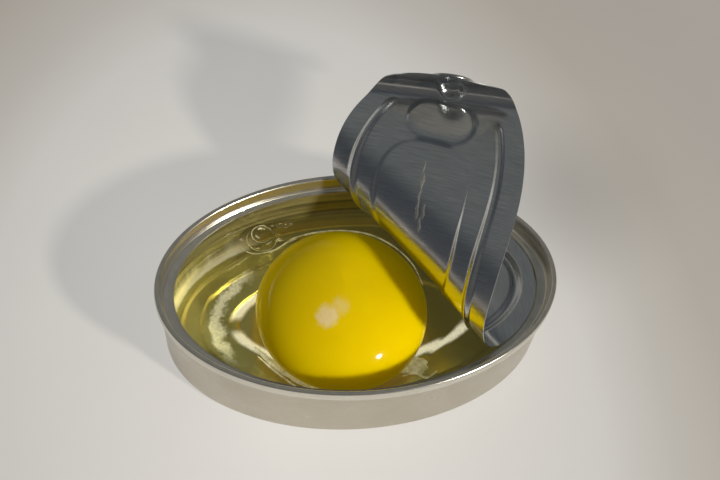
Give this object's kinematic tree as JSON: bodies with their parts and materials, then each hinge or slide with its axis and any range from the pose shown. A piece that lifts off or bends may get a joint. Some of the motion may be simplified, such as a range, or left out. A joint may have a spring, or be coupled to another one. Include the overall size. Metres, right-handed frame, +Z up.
{
  "type": "opened can of egg",
  "caption": "Opened low oval can holding a raw egg, whole yolk in clear white, with the lid rolled back and its ring pull still attached.",
  "frame": {"origin": "middle of the oval base, on the plane that the can stands on", "axes": "+X along the can towards the end where the lid still holds, +Y to the back, +Z up"},
  "size_m": [0.105, 0.0881, 0.0554],
  "materials": {
    "tinplate_body": "drawn tinplate, satin outside, pale gold lacquer inside",
    "tinplate_end": "rolled tinplate end and seam, bright satin",
    "tinplate_lid": "rolled tinplate lid, dark reflective underside with fine rolling grain",
    "tab_metal": "stamped and curled ring pull, satin",
    "yolk": "smooth wet yolk skin, deep yellow",
    "white": "clear raw egg white with a yellow-green cast"
  },
  "bodies": {
    "root": {"can_body": "tinplate_body", "end_ring": "tinplate_end", "peeled_lid": "tinplate_lid", "ring_pull": "tab_metal", "rivet": "tab_metal", "egg_yolk": "yolk", "egg_white": "white"}
  },
  "joints": []
}
